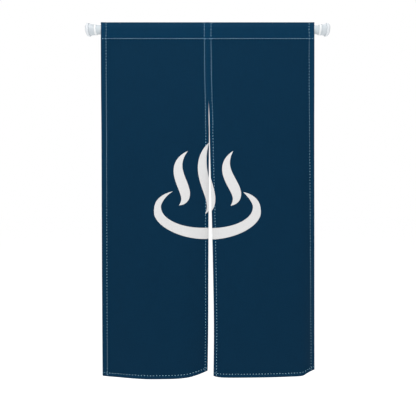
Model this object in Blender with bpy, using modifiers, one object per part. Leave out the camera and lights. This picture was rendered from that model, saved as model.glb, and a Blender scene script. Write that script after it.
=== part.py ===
"""A two-panel noren curtain on the tension rod that it hangs from.

The curtain faces -Y, +X is to its right and +Z is up. The origin is on the rod's axis, half-way
along the rod. Every size is in metres.
"""

from collections import namedtuple
from math import acos, atan2, copysign, cos, hypot, pi, radians, sin, sqrt

import bmesh
import bpy

COLLECTION_NAME = "noren_curtain"

# The cloth: two panels side by side, folded over at the top into a pocket for the rod.
CURTAIN_WIDTH = 0.860
CREASE_HEIGHT = 0.025
DROP_TO_STITCHING = 0.0648
DROP_TO_HEM = 1.4232
CLOTH_THICKNESS = 0.0015
SEAM_GAP = 0.0003
POCKET_CLEARANCE = 0.0010
POCKET_LEAN = 0.0100
CREASE_LEAN = 0.0120
# The share of its width that the pocket loses, for each metre that it stands in front of its
# stitching: the gathered cloth round the rod keeps the curtain's outer edges straight.
POCKET_GATHER = 0.86

# The rod: two tubes, one sliding in the other, with the same moulded end on both sides.
ROD_HALF_LENGTH = 0.4918
OUTER_TUBE_RADIUS = 0.0175
TUBE_WALL = 0.0007
FIT_GAP = 0.0003
OUTER_TUBE_REACH = 0.100
INNER_TUBE_START = -0.020

# How the moulded ends divide up, measured inward from the flat outer face.
PAD_DEPTH = 0.0150
PAD_FACE_RADIUS = 0.0130
PAD_RADIUS = 0.0250
PAD_ROUND_DEPTH = 0.0105
STUD_RADIUS = 0.0080
STUD_START = 0.0083
CAP_END = 0.0352
CAP_WIDE_RADIUS = 0.0226
CAP_NARROW_RADIUS = 0.0202
CAP_FLARE_POWER = 2
SPIGOT_END = 0.0600
COLLAR_DEPTH = 0.0080
COLLAR_RADIUS = 0.0200
COLLAR_EDGE = 0.0007

# How finely the solids are divided.
ROUND_SIDES = 24
COLUMNS = 18
ROWS_BELOW_STITCHING = 28
POCKET_ARC_STEPS = 8
PAD_ARC_STEPS = 5
CAP_STEPS = 3
EDGE_CROWDING = 0.6
MERGE_DISTANCE = 0.00001

# The hem's lift gathers near the hem: it grows by this power of the folds' share.
LIFT_POWER = 6

# One row for each place across the hem: how far the cloth stands forward of the pocket's
# stitching there, and how far the stitched edge draws the hem up.
HemPlace = namedtuple("HemPlace", "across forward lift")
# One row for each height: where the panel's two edges are, and how much of the hem's folds
# has formed at that drop below the crease.
Level = namedtuple("Level", "drop left_edge right_edge fold_share")

LEFT_HEM = [
    HemPlace(0.00, -0.004, 0.000),
    HemPlace(0.06, 0.002, 0.000),
    HemPlace(0.14, 0.008, 0.000),
    HemPlace(0.26, 0.018, 0.000),
    HemPlace(0.42, 0.027, 0.000),
    HemPlace(0.56, 0.027, 0.000),
    HemPlace(0.70, 0.023, 0.000),
    HemPlace(0.80, 0.016, 0.002),
    HemPlace(0.88, 0.003, 0.0055),
    HemPlace(0.94, -0.010, 0.0085),
    HemPlace(1.00, -0.025, 0.0115),
]
LEFT_LEVELS = [
    Level(DROP_TO_STITCHING, -CURTAIN_WIDTH / 2, -SEAM_GAP / 2, 0.00),
    Level(0.200, -0.4295, 0.0015, 0.03),
    Level(0.288, -0.4290, 0.0034, 0.08),
    Level(0.380, -0.4282, 0.0048, 0.28),
    Level(0.460, -0.4277, 0.0059, 0.42),
    Level(0.750, -0.4268, 0.0042, 0.60),
    Level(1.000, -0.4260, 0.0035, 0.76),
    Level(1.230, -0.4250, 0.0029, 0.89),
    Level(DROP_TO_HEM, -0.4240, 0.0003, 1.00),
]

RIGHT_HEM = [
    HemPlace(0.00, -0.002, 0.000),
    HemPlace(0.06, 0.010, 0.000),
    HemPlace(0.16, 0.014, 0.000),
    HemPlace(0.36, 0.013, 0.000),
    HemPlace(0.56, 0.010, 0.000),
    HemPlace(0.74, 0.004, 0.000),
    HemPlace(0.84, 0.000, 0.0016),
    HemPlace(0.90, -0.010, 0.0090),
    HemPlace(0.95, -0.0230, 0.0106),
    HemPlace(1.00, -0.0350, 0.0115),
]
RIGHT_LEVELS = [
    Level(DROP_TO_STITCHING, SEAM_GAP / 2, CURTAIN_WIDTH / 2, 0.00),
    Level(0.200, 0.0018, 0.4302, 0.03),
    Level(0.288, 0.0038, 0.4305, 0.08),
    Level(0.380, 0.0071, 0.4322, 0.28),
    Level(0.460, 0.0080, 0.4335, 0.42),
    Level(0.750, 0.0160, 0.4356, 0.60),
    Level(1.000, 0.0217, 0.4374, 0.76),
    Level(1.230, 0.0250, 0.4389, 0.89),
    Level(DROP_TO_HEM, 0.0235, 0.4402, 1.00),
]

INDIGO = (0.0052, 0.0331, 0.0723, 1.0)
WHITE_PLASTIC = (0.82, 0.82, 0.81, 1.0)
WHITE_PAINT = (0.78, 0.78, 0.77, 1.0)
SOFT_WHITE = (0.76, 0.76, 0.75, 1.0)


def clear_scene():
    """Remove every object from the open file."""
    for thing in list(bpy.data.objects):
        bpy.data.objects.remove(thing, do_unlink=True)


def make_collection(name):
    """Return a new collection in the scene."""
    collection = bpy.data.collections.new(name)
    bpy.context.scene.collection.children.link(collection)
    return collection


def make_material(name, colour, roughness, metallic=0.0):
    """Return a Principled material with one colour."""
    material = bpy.data.materials.new(name)
    material.use_nodes = True
    shader = material.node_tree.nodes["Principled BSDF"]
    shader.inputs["Base Color"].default_value = colour
    shader.inputs["Roughness"].default_value = roughness
    shader.inputs["Metallic"].default_value = metallic
    return material


def add_object(name, mesh, material, collection):
    """Put a mesh in the collection as a named object."""
    thing = bpy.data.objects.new(name, mesh)
    thing.data.materials.append(material)
    collection.objects.link(thing)
    return thing


def slope_between(first, second, key, value):
    """Return how fast one column of a table changes from one row to another."""
    return (getattr(second, value) - getattr(first, value)) / (getattr(second, key) - getattr(first, key))


def smooth_between(rows, key, value, at):
    """Read one column of a table at a place between its rows, on a smooth curve."""
    last = len(rows) - 1
    index = 0
    while index < last - 1 and at > getattr(rows[index + 1], key):
        index += 1
    before = rows[max(index - 1, 0)]
    start = rows[index]
    end = rows[index + 1]
    after = rows[min(index + 2, last)]
    span = getattr(end, key) - getattr(start, key)
    share = min(max((at - getattr(start, key)) / span, 0.0), 1.0)
    slope_in = slope_between(before, end, key, value)
    slope_out = slope_between(start, after, key, value)
    from_start = (1 + 2 * share) * (1 - share) ** 2 * getattr(start, value)
    from_end = (3 - 2 * share) * share ** 2 * getattr(end, value)
    turn_out = share * (1 - share) ** 2 * span * slope_in
    turn_in = (share - 1) * share ** 2 * span * slope_out
    return from_start + from_end + turn_out + turn_in


def column_places():
    """Return the places across a panel, closer together near its two edges."""
    places = []
    for column in range(COLUMNS + 1):
        share = column / COLUMNS
        places.append(share - EDGE_CROWDING * sin(2 * pi * share) / (2 * pi))
    return places


def widths_along(places, hem, fold_share, width):
    """Return how far across each place comes once the folds have used up some of the width."""
    reached = [0.0]
    for left, right in zip(places, places[1:]):
        cloth = (right - left) * width
        start = smooth_between(hem, "across", "forward", left)
        end = smooth_between(hem, "across", "forward", right)
        depth = (end - start) * fold_share
        reached.append(reached[-1] + sqrt(cloth * cloth - depth * depth))
    return [distance / reached[-1] for distance in reached]


def panel_row(places, hem, levels, drop):
    """Return one level row of points of the cloth's middle surface, at a drop below the crease."""
    left_edge = smooth_between(levels, "drop", "left_edge", drop)
    right_edge = smooth_between(levels, "drop", "right_edge", drop)
    fold_share = smooth_between(levels, "drop", "fold_share", drop)
    shares = widths_along(places, hem, fold_share, right_edge - left_edge)
    row = []
    for place, share in zip(places, shares):
        forward = smooth_between(hem, "across", "forward", place) * fold_share
        lift = smooth_between(hem, "across", "lift", place) * fold_share ** LIFT_POWER
        across = left_edge + (right_edge - left_edge) * share
        row.append((across, -POCKET_LEAN - forward, CREASE_HEIGHT - drop + lift))
    return row


def pocket_section():
    """Return the pocket's section as depth and height: up its front, over the crease, down its back.

    The cloth leaves the stitching straight, lies round the rod, and leaves it again for the
    pressed crease above. The stitching hangs a little in front of the rod's axis, because the
    weight of the cloth is on the pocket's front, and the crease leans the same way.
    """
    radius = OUTER_TUBE_RADIUS + POCKET_CLEARANCE + CLOTH_THICKNESS / 2
    crease = CREASE_HEIGHT - CLOTH_THICKNESS / 2
    stitching = DROP_TO_STITCHING - CREASE_HEIGHT
    stitching_angle = pi - atan2(POCKET_LEAN, stitching)
    crease_angle = atan2(CREASE_LEAN, crease)
    reach = acos(radius / hypot(POCKET_LEAN, stitching))
    crease_reach = acos(radius / hypot(CREASE_LEAN, crease))
    front = arc_points(radius, stitching_angle - reach, crease_angle + crease_reach)
    back = arc_points(radius, 2 * pi + crease_angle - crease_reach, stitching_angle + reach)
    return front + [(-CREASE_LEAN, crease)] + back


def arc_points(radius, first, last):
    """Return points round the rod's axis, at angles from straight up that grow to the front."""
    points = []
    for step in range(POCKET_ARC_STEPS + 1):
        angle = first + (last - first) * step / POCKET_ARC_STEPS
        points.append((-radius * sin(angle), radius * cos(angle)))
    return points


def make_panel(name, hem, levels, material, collection):
    """Make one panel: its hanging sheet, and the pocket that closes on the sheet's stitched line."""
    mesh_work = bmesh.new()
    places = column_places()
    hanging = DROP_TO_HEM - DROP_TO_STITCHING
    rows = []
    for step in range(ROWS_BELOW_STITCHING, -1, -1):
        drop = DROP_TO_STITCHING + hanging * step / ROWS_BELOW_STITCHING
        rows.append([mesh_work.verts.new(point) for point in panel_row(places, hem, levels, drop)])
    stitched_row = rows[-1]

    for depth, height in pocket_section():
        width_share = 1.0 - POCKET_GATHER * max(0.0, -POCKET_LEAN - depth)
        row = []
        for vertex in stitched_row:
            seam_edge = copysign(SEAM_GAP / 2, vertex.co.x)
            across = seam_edge + (vertex.co.x - seam_edge) * width_share
            row.append(mesh_work.verts.new((across, depth, height)))
        rows.append(row)
    rows.append(stitched_row)

    for lower, upper in zip(rows, rows[1:]):
        for column in range(COLUMNS):
            corners = (lower[column], lower[column + 1], upper[column + 1], upper[column])
            mesh_work.faces.new(corners)
    mesh = bpy.data.meshes.new(name)
    mesh_work.to_mesh(mesh)
    mesh_work.free()
    mesh.shade_smooth()

    panel = add_object(name, mesh, material, collection)
    cloth = panel.modifiers.new("cloth_thickness", "SOLIDIFY")
    cloth.solidify_mode = "NON_MANIFOLD"
    cloth.nonmanifold_thickness_mode = "EVEN"
    cloth.nonmanifold_merge_threshold = MERGE_DISTANCE
    cloth.thickness = CLOTH_THICKNESS
    cloth.offset = 0.0
    return panel


def make_turned(name, profile, closed, end_side, material, collection):
    """Turn a profile of radius and distance inward round the rod's axis.

    The profile starts at the outer end of the rod, runs along its outer side, and comes back
    to the axis or, where it is closed, to its start. end_side is -1 at the left and 1 at the right.
    """
    mesh = bpy.data.meshes.new(name)
    points = [(radius, 0.0, -inward) for radius, inward in profile]
    edges = [(index, index + 1) for index in range(len(points) - 1)]
    if closed:
        edges.append((len(points) - 1, 0))
    mesh.from_pydata(points, edges, [])
    thing = add_object(name, mesh, material, collection)
    thing.location = (end_side * ROD_HALF_LENGTH, 0.0, 0.0)
    thing.rotation_euler = (0.0, end_side * radians(90), 0.0)
    turn = thing.modifiers.new("turned", "SCREW")
    turn.axis = "Z"
    turn.angle = radians(360)
    turn.steps = ROUND_SIDES
    turn.render_steps = ROUND_SIDES
    turn.use_merge_vertices = True
    turn.merge_threshold = MERGE_DISTANCE
    return thing


def make_end_pad(name, end_side, material, collection):
    """Make the soft pad that presses on the door frame, flat in its middle and round at its rim."""
    recess_radius = STUD_RADIUS + FIT_GAP
    recess_start = STUD_START - FIT_GAP
    profile = [(0.0, 0.0)]
    for step in range(PAD_ARC_STEPS + 1):
        angle = pi / 2 * step / PAD_ARC_STEPS
        radius = PAD_FACE_RADIUS + (PAD_RADIUS - PAD_FACE_RADIUS) * sin(angle)
        profile.append((radius, PAD_ROUND_DEPTH * (1.0 - cos(angle))))
    profile.append((PAD_RADIUS, PAD_DEPTH))
    profile.append((recess_radius, PAD_DEPTH))
    profile.append((recess_radius, recess_start))
    profile.append((0.0, recess_start))
    return make_turned(name, profile, False, end_side, material, collection)


def make_end_cap(name, end_side, tube_radius, material, collection):
    """Make the tapered cap, with a stud for the pad and a spigot that plugs the tube."""
    spigot_radius = tube_radius - TUBE_WALL - FIT_GAP
    shoulder = PAD_DEPTH + FIT_GAP
    profile = [
        (0.0, STUD_START),
        (STUD_RADIUS, STUD_START),
        (STUD_RADIUS, shoulder),
    ]
    for step in range(CAP_STEPS + 1):
        share = step / CAP_STEPS
        flare = (CAP_WIDE_RADIUS - CAP_NARROW_RADIUS) * (1.0 - share) ** CAP_FLARE_POWER
        profile.append((CAP_NARROW_RADIUS + flare, shoulder + (CAP_END - shoulder) * share))
    profile.append((spigot_radius, CAP_END))
    profile.append((spigot_radius, SPIGOT_END))
    profile.append((0.0, SPIGOT_END))
    return make_turned(name, profile, False, end_side, material, collection)


def make_collar(name, end_side, tube_radius, material, collection):
    """Make the ring that covers the end of the tube."""
    start = CAP_END + FIT_GAP
    end = start + COLLAR_DEPTH
    bore = tube_radius + FIT_GAP
    profile = [
        (bore, start),
        (COLLAR_RADIUS - COLLAR_EDGE, start),
        (COLLAR_RADIUS, start + COLLAR_EDGE),
        (COLLAR_RADIUS, end - COLLAR_EDGE),
        (COLLAR_RADIUS - COLLAR_EDGE, end),
        (bore, end),
    ]
    return make_turned(name, profile, True, end_side, material, collection)


def make_tube(name, end_side, tube_radius, reach, material, collection):
    """Make one tube of the rod, from its cap as far as reach, a place along +X."""
    start = CAP_END + FIT_GAP
    end = ROD_HALF_LENGTH - end_side * reach
    bore = tube_radius - TUBE_WALL
    profile = [
        (bore, start),
        (tube_radius, start),
        (tube_radius, end),
        (bore, end),
    ]
    return make_turned(name, profile, True, end_side, material, collection)


def build():
    """Make every piece of the curtain and its rod."""
    clear_scene()
    collection = make_collection(COLLECTION_NAME)
    cloth = make_material("indigo_cloth", INDIGO, 0.90)
    paint = make_material("white_painted_tube", WHITE_PAINT, 0.35)
    plastic = make_material("white_plastic", WHITE_PLASTIC, 0.25)
    soft = make_material("soft_white_pad", SOFT_WHITE, 0.55)

    make_panel("left_panel", LEFT_HEM, LEFT_LEVELS, cloth, collection)
    make_panel("right_panel", RIGHT_HEM, RIGHT_LEVELS, cloth, collection)

    inner_tube_radius = OUTER_TUBE_RADIUS - TUBE_WALL - FIT_GAP
    make_tube("rod_outer_tube", -1, OUTER_TUBE_RADIUS, OUTER_TUBE_REACH, paint, collection)
    make_tube("rod_inner_tube", 1, inner_tube_radius, INNER_TUBE_START, paint, collection)
    for side, end_side, tube_radius in (("left", -1, OUTER_TUBE_RADIUS), ("right", 1, inner_tube_radius)):
        make_collar(side + "_rod_collar", end_side, tube_radius, plastic, collection)
        make_end_cap(side + "_end_cap", end_side, tube_radius, plastic, collection)
        make_end_pad(side + "_end_pad", end_side, soft, collection)


build()
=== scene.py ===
"""Finish for a two-panel noren curtain on its tension rod: cloth, print, stitching and fittings.

The curtain faces -Y, +X is to its right and +Z is up. The origin is on the rod's axis, half-way
along the rod. Every size is in metres.
"""

from collections import namedtuple
from math import acos, atan2, ceil, cos, hypot, pi, radians, sin
from random import Random

import bmesh
import bpy
import numpy as np
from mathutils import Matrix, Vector


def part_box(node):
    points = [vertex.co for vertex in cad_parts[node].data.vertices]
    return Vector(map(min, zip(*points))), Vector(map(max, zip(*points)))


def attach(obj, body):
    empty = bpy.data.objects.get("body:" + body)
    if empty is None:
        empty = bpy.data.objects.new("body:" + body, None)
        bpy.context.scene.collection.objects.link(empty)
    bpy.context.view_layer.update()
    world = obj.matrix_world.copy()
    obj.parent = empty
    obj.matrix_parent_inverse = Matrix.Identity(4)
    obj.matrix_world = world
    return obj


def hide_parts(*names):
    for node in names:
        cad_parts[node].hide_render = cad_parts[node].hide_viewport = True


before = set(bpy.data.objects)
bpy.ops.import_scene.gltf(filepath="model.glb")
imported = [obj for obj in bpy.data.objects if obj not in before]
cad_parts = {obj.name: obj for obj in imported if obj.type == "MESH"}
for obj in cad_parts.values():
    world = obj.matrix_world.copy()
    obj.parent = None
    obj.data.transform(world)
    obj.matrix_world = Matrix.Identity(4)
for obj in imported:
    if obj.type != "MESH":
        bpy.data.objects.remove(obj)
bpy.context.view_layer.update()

BODY = "root"

# The curtain's driving sizes, the same as those of its solids.
CURTAIN_WIDTH = 0.860
CREASE_HEIGHT = 0.025
DROP_TO_STITCHING = 0.0648
DROP_TO_HEM = 1.4232
CLOTH_THICKNESS = 0.0015
SEAM_GAP = 0.0003
POCKET_CLEARANCE = 0.0010
POCKET_LEAN = 0.0100
CREASE_LEAN = 0.0120
# The share of its width that the pocket loses, for each metre that it stands in front of its
# stitching: the gathered cloth round the rod keeps the curtain's outer edges straight.
POCKET_GATHER = 0.86
ROD_RADIUS = 0.0175
PANEL_WIDTH = (CURTAIN_WIDTH - SEAM_GAP) / 2
POCKET_UP = DROP_TO_HEM - DROP_TO_STITCHING
SLIT_DROP = 0.288

# One row for each place across the hem: how far the cloth stands forward of the pocket's
# stitching there, and how far the stitched edge draws the hem up.
HemPlace = namedtuple("HemPlace", "across forward lift")
# One row for each height: where the panel's two edges are, and how much of the hem's folds
# has formed at that drop below the crease.
Level = namedtuple("Level", "drop left_edge right_edge fold_share")

LEFT_HEM = [
    HemPlace(0.00, -0.004, 0.000),
    HemPlace(0.06, 0.002, 0.000),
    HemPlace(0.14, 0.008, 0.000),
    HemPlace(0.26, 0.018, 0.000),
    HemPlace(0.42, 0.027, 0.000),
    HemPlace(0.56, 0.027, 0.000),
    HemPlace(0.70, 0.023, 0.000),
    HemPlace(0.80, 0.016, 0.002),
    HemPlace(0.88, 0.003, 0.0055),
    HemPlace(0.94, -0.010, 0.0085),
    HemPlace(1.00, -0.025, 0.0115),
]
LEFT_LEVELS = [
    Level(DROP_TO_STITCHING, -CURTAIN_WIDTH / 2, -SEAM_GAP / 2, 0.00),
    Level(0.200, -0.4295, 0.0015, 0.03),
    Level(0.288, -0.4290, 0.0034, 0.08),
    Level(0.380, -0.4282, 0.0048, 0.28),
    Level(0.460, -0.4277, 0.0059, 0.42),
    Level(0.750, -0.4268, 0.0042, 0.60),
    Level(1.000, -0.4260, 0.0035, 0.76),
    Level(1.230, -0.4250, 0.0029, 0.89),
    Level(DROP_TO_HEM, -0.4240, 0.0003, 1.00),
]
RIGHT_HEM = [
    HemPlace(0.00, -0.002, 0.000),
    HemPlace(0.06, 0.010, 0.000),
    HemPlace(0.16, 0.014, 0.000),
    HemPlace(0.36, 0.013, 0.000),
    HemPlace(0.56, 0.010, 0.000),
    HemPlace(0.74, 0.004, 0.000),
    HemPlace(0.84, 0.000, 0.0016),
    HemPlace(0.90, -0.010, 0.0090),
    HemPlace(0.95, -0.0230, 0.0106),
    HemPlace(1.00, -0.0350, 0.0115),
]
RIGHT_LEVELS = [
    Level(DROP_TO_STITCHING, SEAM_GAP / 2, CURTAIN_WIDTH / 2, 0.00),
    Level(0.200, 0.0018, 0.4302, 0.03),
    Level(0.288, 0.0038, 0.4305, 0.08),
    Level(0.380, 0.0071, 0.4322, 0.28),
    Level(0.460, 0.0080, 0.4335, 0.42),
    Level(0.750, 0.0160, 0.4356, 0.60),
    Level(1.000, 0.0217, 0.4374, 0.76),
    Level(1.230, 0.0250, 0.4389, 0.89),
    Level(DROP_TO_HEM, 0.0235, 0.4402, 1.00),
]

# Soft troughs and ridges that hanging has left in each panel. Places are shares of the panel's
# width, the drops are below the crease, and a trough has a negative height. Below 1, the power
# keeps a fold's height nearly to its ends.
SoftFold = namedtuple("SoftFold", "across top bottom lean height width")
FOLD_POWER = 0.7
LEFT_FOLDS = [
    SoftFold(0.13, 0.07, 0.95, 0.03, -0.0009, 0.050),
    SoftFold(0.37, 0.07, 0.62, -0.04, 0.0007, 0.060),
    SoftFold(0.58, 0.30, 1.42, 0.05, -0.0008, 0.065),
    SoftFold(0.80, 0.07, 0.80, -0.02, 0.0009, 0.045),
]
RIGHT_FOLDS = [
    SoftFold(0.17, 0.07, 0.85, 0.03, 0.0008, 0.050),
    SoftFold(0.36, 0.40, 1.42, -0.04, -0.0008, 0.060),
    SoftFold(0.62, 0.07, 0.70, 0.02, -0.0007, 0.060),
    SoftFold(0.83, 0.25, 1.30, 0.04, 0.0009, 0.050),
]

# The hem's lift gathers near the hem: it grows by this power of the folds' share.
LIFT_POWER = 6

# Where each seam is sewn, measured in from the cloth's folded edge.
OUTER_STITCHING = 0.0215
LEFT_INNER_STITCHING = 0.0135
RIGHT_INNER_STITCHING = 0.0140
BOTTOM_STITCHING = 0.0145
HEM_TURNING = 0.0020
POCKET_FLAP = 0.0045

Panel = namedtuple("Panel", "side node hem levels folds left_stitching right_stitching flat_start")
PANELS = [
    Panel("left", "left_panel", LEFT_HEM, LEFT_LEVELS, LEFT_FOLDS,
          OUTER_STITCHING, LEFT_INNER_STITCHING, -PANEL_WIDTH),
    Panel("right", "right_panel", RIGHT_HEM, RIGHT_LEVELS, RIGHT_FOLDS,
          RIGHT_INNER_STITCHING, OUTER_STITCHING, 0.0),
]

# How thick the cloth is in front of its middle surface and behind it, single and hemmed.
SINGLE_FRONT = 0.00035
SINGLE_BACK = 0.00025
HEM_FRONT = 0.00060
HEM_BACK = 0.00095
HEM_STEP = 0.0012
EDGE_RADIUS = 0.0008
STITCH_DENT = 0.00030
DENT_WIDTH = 0.0016
PUCKER_HEIGHT = 0.00022
PUCKER_WIDTH = 0.0095
PUCKER_LENGTH = 0.0236
# Along a seam the puckers drift out of step: by how many radians, and how fast for each metre.
# The spread gives each side seam its own start.
Drift = namedtuple("Drift", "reach rate")
SIDE_DRIFT = Drift(2.1, 9)
LEVEL_DRIFT = Drift(1.7, 21)
SIDE_DRIFT_SPREAD = 90

# How finely the cloth is divided.
COLUMN_STEP = 0.0058
ROW_STEP = 0.0055
POCKET_STEP = 0.0034
EDGE_ROUND = (0.0, 0.00010, 0.00036, EDGE_RADIUS)

# The stitching. Each stitch is a little shorter or longer than STITCH_LENGTH, off its line and
# aslant. A phase is the first stitch's place in its period: the back's stitches lie between the
# front's.
STITCH_LENGTH = 0.0050
STITCH_SHORTEST = 0.93
STITCH_LONGEST = 1.05
STITCH_WANDER = 0.00018
STITCH_SLANT = 0.00022
STITCH_PERIOD = 0.0118
STITCH_SEEDS = {"left": 11, "right": 23}
FRONT_PHASE = 0.5
BACK_PHASE = 0.95
THREAD_HALF_WIDTH = 0.00074
THREAD_HALF_HEIGHT = 0.00036
# How far a thread's middle stands out from the cloth, and how far its ends dive from there, as
# shares of its half height.
Arch = namedtuple("Arch", "rise dive")
STITCH_ARCH = Arch(1.15, 1.9)
SEAM_ARCH = Arch(1.6, 2.4)
SEAM_STITCH_PERIOD = 0.0060
SEAM_STITCH_INSET = 0.0034
SEAM_STITCH_SLANT = 0.0018

# Above the slit the two panels meet edge to edge. The seam presses each past the other's line by
# an overlap, draws the cloth beside it along, and lets go over the first part of the slit.
SEAM_OVERLAP = 0.00016
SEAM_PULL = 0.060
SEAM_RELEASE = 0.090

# How far the print's skin stands out from the cloth and sinks into it, how many rows and cells
# its shapes have, and how exactly its mesh is cut and cleaned.
PRINT_OUT = 0.00012
PRINT_IN = -0.00006
WISP_STEPS = 80
POOL_STEPS = 260
PRINT_CELLS = 14
WELD_DISTANCE = 0.00002
CUT_ACCURACY = 0.000001
SLIVER_LENGTH = 0.00001


def smooth_between(rows, key, value, at):
    """Read one column of a table at a place between its rows, on a smooth curve."""
    last = len(rows) - 1
    index = 0
    while index < last - 1 and at > getattr(rows[index + 1], key):
        index += 1
    before = rows[max(index - 1, 0)]
    start = rows[index]
    end = rows[index + 1]
    after = rows[min(index + 2, last)]
    span = getattr(end, key) - getattr(start, key)
    share = min(max((at - getattr(start, key)) / span, 0.0), 1.0)
    slope_in = slope_between(before, end, key, value)
    slope_out = slope_between(start, after, key, value)
    from_start = (1 + 2 * share) * (1 - share) ** 2 * getattr(start, value)
    from_end = (3 - 2 * share) * share ** 2 * getattr(end, value)
    turn_out = share * (1 - share) ** 2 * span * slope_in
    turn_in = (share - 1) * share ** 2 * span * slope_out
    return from_start + from_end + turn_out + turn_in


def slope_between(first, second, key, value):
    """Return how fast one column of a table changes from one row to another."""
    change = getattr(second, value) - getattr(first, value)
    return change / (getattr(second, key) - getattr(first, key))


def column_of(rows, key, value, places):
    """Read one column of a table at many places."""
    return np.array([smooth_between(rows, key, value, place) for place in places])


def eased(share):
    """Return a smooth step from 0 to 1."""
    share = np.clip(share, 0.0, 1.0)
    return share * share * (3 - 2 * share)


def filled(marks, step):
    """Return the marks with even places between them, so that no gap is wider than a step."""
    places = []
    for start, end in zip(marks, marks[1:]):
        count = ceil((end - start) / step - 0.001)
        places += [start + (end - start) * index / count for index in range(count)]
    return np.array(places + [marks[-1]])


def hem_marks(stitching):
    """Return the places, in from a folded edge, that a hem's relief needs."""
    dents = [stitching + DENT_WIDTH * share for share in (-1.5, -0.6, 0.0, 0.6)]
    turning = stitching + HEM_TURNING
    return list(EDGE_ROUND) + dents + [turning, turning + HEM_STEP]


def panel_columns(panel):
    """Return the places across a panel, in metres from its left edge."""
    marks = hem_marks(panel.left_stitching)
    marks += [PANEL_WIDTH - mark for mark in reversed(hem_marks(panel.right_stitching))]
    return filled(marks, COLUMN_STEP)


def sheet_rows():
    """Return the heights of the sheet's rows above the hem, up to the pocket's stitching."""
    dents = [POCKET_UP - DENT_WIDTH * share for share in (1.5, 0.6, 0.0)]
    flap = POCKET_UP - POCKET_FLAP
    return filled(hem_marks(BOTTOM_STITCHING) + [flap - HEM_STEP, flap] + dents, ROW_STEP)


def pocket_section():
    """Return the pocket's section as depth and height, from its stitching round to it again."""
    radius = ROD_RADIUS + POCKET_CLEARANCE + CLOTH_THICKNESS / 2
    crease = CREASE_HEIGHT - CLOTH_THICKNESS / 2
    stitching = DROP_TO_STITCHING - CREASE_HEIGHT
    stitching_angle = pi - atan2(POCKET_LEAN, stitching)
    crease_angle = atan2(CREASE_LEAN, crease)
    reach = acos(radius / hypot(POCKET_LEAN, stitching))
    crease_reach = acos(radius / hypot(CREASE_LEAN, crease))
    corner = [(-POCKET_LEAN, -stitching)]
    top = [(-CREASE_LEAN, crease)]
    front = arc_points(radius, stitching_angle - reach, crease_angle + crease_reach)
    back = arc_points(radius, 2 * pi + crease_angle - crease_reach, stitching_angle + reach)
    up_front = spaced(corner + front + top)
    down_back = spaced(top + back + corner)
    return np.concatenate([up_front, down_back[1:]])


def arc_points(radius, first, last):
    """Return points round the rod's axis, at angles from straight up that grow to the front."""
    steps = 24
    angles = [first + (last - first) * step / steps for step in range(steps + 1)]
    return [(-radius * sin(angle), radius * cos(angle)) for angle in angles]


def spaced(points):
    """Return even places along a line of points."""
    points = np.array(points)
    reached = np.concatenate([[0.0], np.cumsum(np.linalg.norm(np.diff(points, axis=0), axis=1))])
    places = np.linspace(0.0, reached[-1], ceil(reached[-1] / POCKET_STEP) + 1)
    return np.stack([np.interp(places, reached, points[:, axis]) for axis in (0, 1)], axis=1)


def soft_fold_depth(panel, across, drops):
    """Return how far the soft folds push the cloth forward, for each row and column."""
    depth = np.zeros((len(drops), len(across)))
    for fold in panel.folds:
        along = (drops - fold.top) / (fold.bottom - fold.top)
        arch = np.sin(pi * np.clip(along, 0, 1)) ** FOLD_POWER
        strength = np.where((along > 0) & (along < 1), arch, 0.0)
        centre = (fold.across + fold.lean * along) * PANEL_WIDTH
        beside = (across[None, :] - centre[:, None]) / fold.width
        depth += fold.height * strength[:, None] * np.exp(-beside ** 2)
    return depth


def sheet_points(panel, across, ups):
    """Return the middle surface of the hanging sheet, row by row from the hem up."""
    places = across / PANEL_WIDTH
    drops = DROP_TO_HEM - ups
    forward = column_of(panel.hem, "across", "forward", places)
    lift = column_of(panel.hem, "across", "lift", places)
    left = column_of(panel.levels, "drop", "left_edge", drops)
    width = column_of(panel.levels, "drop", "right_edge", drops) - left
    fold_share = column_of(panel.levels, "drop", "fold_share", drops)
    cloth = np.outer(width, np.diff(places))
    depth = np.outer(fold_share, np.diff(forward))
    reached = np.cumsum(np.sqrt(cloth ** 2 - depth ** 2), axis=1)
    share = np.hstack([np.zeros((len(ups), 1)), reached / reached[:, -1:]])
    x = left[:, None] + width[:, None] * share
    y = -POCKET_LEAN - np.outer(fold_share, forward) - soft_fold_depth(panel, across, drops)
    z = CREASE_HEIGHT - drops[:, None] + np.outer(fold_share ** LIFT_POWER, lift)
    return np.stack([x, y, z], axis=2)


def hanging_sheets():
    """Work out both sheets below the pocket's stitching, drawn together along their seam."""
    ups = sheet_rows()
    left_panel, right_panel = PANELS
    left_across = panel_columns(left_panel)
    right_across = panel_columns(right_panel)
    left = sheet_points(left_panel, left_across, ups)
    right = sheet_points(right_panel, right_across, ups)
    seam = (left[:, -1] + right[:, 0]) / 2
    held = 1 - eased((DROP_TO_HEM - ups - SLIT_DROP) / SEAM_RELEASE)
    joined = []
    sides = (
        (left, -1, 1, PANEL_WIDTH - left_across),
        (right, 0, -1, right_across),
    )
    for sheet, edge, past, from_seam in sides:
        pull = seam - sheet[:, edge] + np.array([past * SEAM_OVERLAP, 0.0, 0.0])
        pull = pull * held[:, None]
        joined.append(sheet + near(from_seam, SEAM_PULL)[None, :, None] * pull[:, None, :])
    return joined


def unit(vectors):
    """Scale vectors to a length of one."""
    return vectors / np.linalg.norm(vectors, axis=-1, keepdims=True)


def grid_normals(points):
    """Return the normals of a grid of points, out of the cloth's printed side."""
    along_columns = np.gradient(points, axis=1)
    along_rows = np.gradient(points, axis=0)
    return unit(np.cross(along_columns, along_rows))


def edge_factor(distance):
    """Return how much of its thickness the cloth has at a distance in from a folded edge."""
    short = 1 - np.clip(distance / EDGE_RADIUS, 0, 1)
    return np.sqrt(1 - short ** 2)


def near(distance, width):
    """Return 1 on a line, falling to 0 on both sides of it."""
    return np.exp(-(distance / width) ** 2)


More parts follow.
